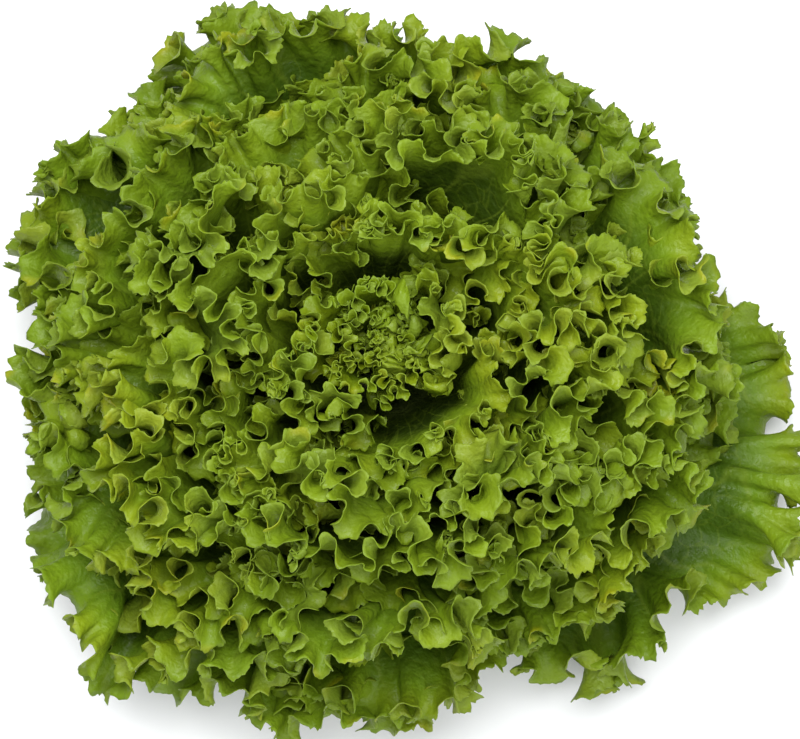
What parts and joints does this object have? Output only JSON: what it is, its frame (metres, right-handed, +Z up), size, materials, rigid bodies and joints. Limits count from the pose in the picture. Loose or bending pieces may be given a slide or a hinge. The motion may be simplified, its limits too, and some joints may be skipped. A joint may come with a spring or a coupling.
{
  "type": "curly leaf lettuce",
  "caption": "Whole head of curly green leaf lettuce: ruffled leaves in a spiral round a short cut stem, with a small tight heart.",
  "frame": {"origin": "centre of the stem's flat cut face, which the head stands on", "axes": "+Z up along the stem, from the cut face towards the heart; X and Y lie in the surface that the head stands on"},
  "size_m": [0.2761, 0.2637, 0.1342],
  "materials": {
    "outer_leaf": "satin",
    "middle_leaf": "satin",
    "inner_leaf": "satin",
    "heart_leaf": "satin",
    "stem": "satin"
  },
  "bodies": {
    "root": {"stem": "stem", "heart": "heart_leaf", "leaf_01": "outer_leaf", "leaf_02": "outer_leaf", "leaf_03": "outer_leaf", "leaf_04": "outer_leaf", "leaf_05": "outer_leaf", "leaf_06": "outer_leaf", "leaf_07": "outer_leaf", "leaf_08": "outer_leaf", "leaf_09": "outer_leaf", "leaf_10": "outer_leaf", "leaf_11": "middle_leaf", "leaf_12": "middle_leaf", "leaf_13": "middle_leaf", "leaf_14": "middle_leaf", "leaf_15": "middle_leaf", "leaf_16": "middle_leaf", "leaf_17": "middle_leaf", "leaf_18": "middle_leaf", "leaf_19": "middle_leaf", "leaf_20": "middle_leaf", "leaf_21": "inner_leaf", "leaf_22": "inner_leaf", "leaf_23": "inner_leaf", "leaf_24": "inner_leaf", "leaf_25": "inner_leaf", "leaf_26": "inner_leaf", "leaf_27": "inner_leaf", "leaf_28": "inner_leaf", "leaf_29": "inner_leaf", "leaf_30": "inner_leaf"}
  },
  "joints": []
}
